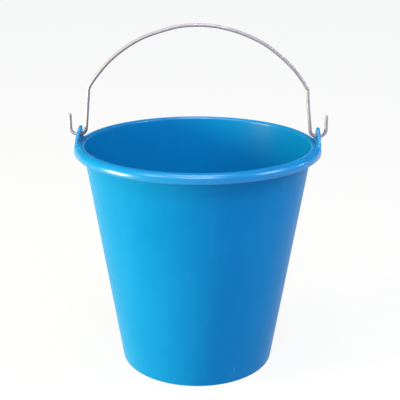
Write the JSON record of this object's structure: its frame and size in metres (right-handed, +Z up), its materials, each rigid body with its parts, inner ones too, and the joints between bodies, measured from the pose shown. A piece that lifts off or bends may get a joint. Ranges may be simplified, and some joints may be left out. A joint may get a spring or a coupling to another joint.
{
  "type": "bucket",
  "caption": "Tapered round plastic bucket with a rolled rim, moulded ears and a swinging bent-wire bail.",
  "frame": {"origin": "centre of the foot ring, on the ground", "axes": "+Z up along the tub's axis; the ears and the bail's hooks are on +X and -X; the bail stands up at rest and swings about X"},
  "size_m": [0.3208, 0.3036, 0.4322],
  "materials": {
    "tub_plastic": "satin moulded, glossy on the rim",
    "bail_wire": "drawn, galvanised"
  },
  "bodies": {
    "tub": {"bucket_body": "tub_plastic"},
    "bail": {"wire_bail": "bail_wire"}
  },
  "joints": [
    {"name": "bail_swing", "type": "hinge", "parent": "tub", "child": "bail", "pos_m": [0, 0, 0.2957], "axis": [1, 0, 0], "range_deg": [-93, 93]}
  ]
}
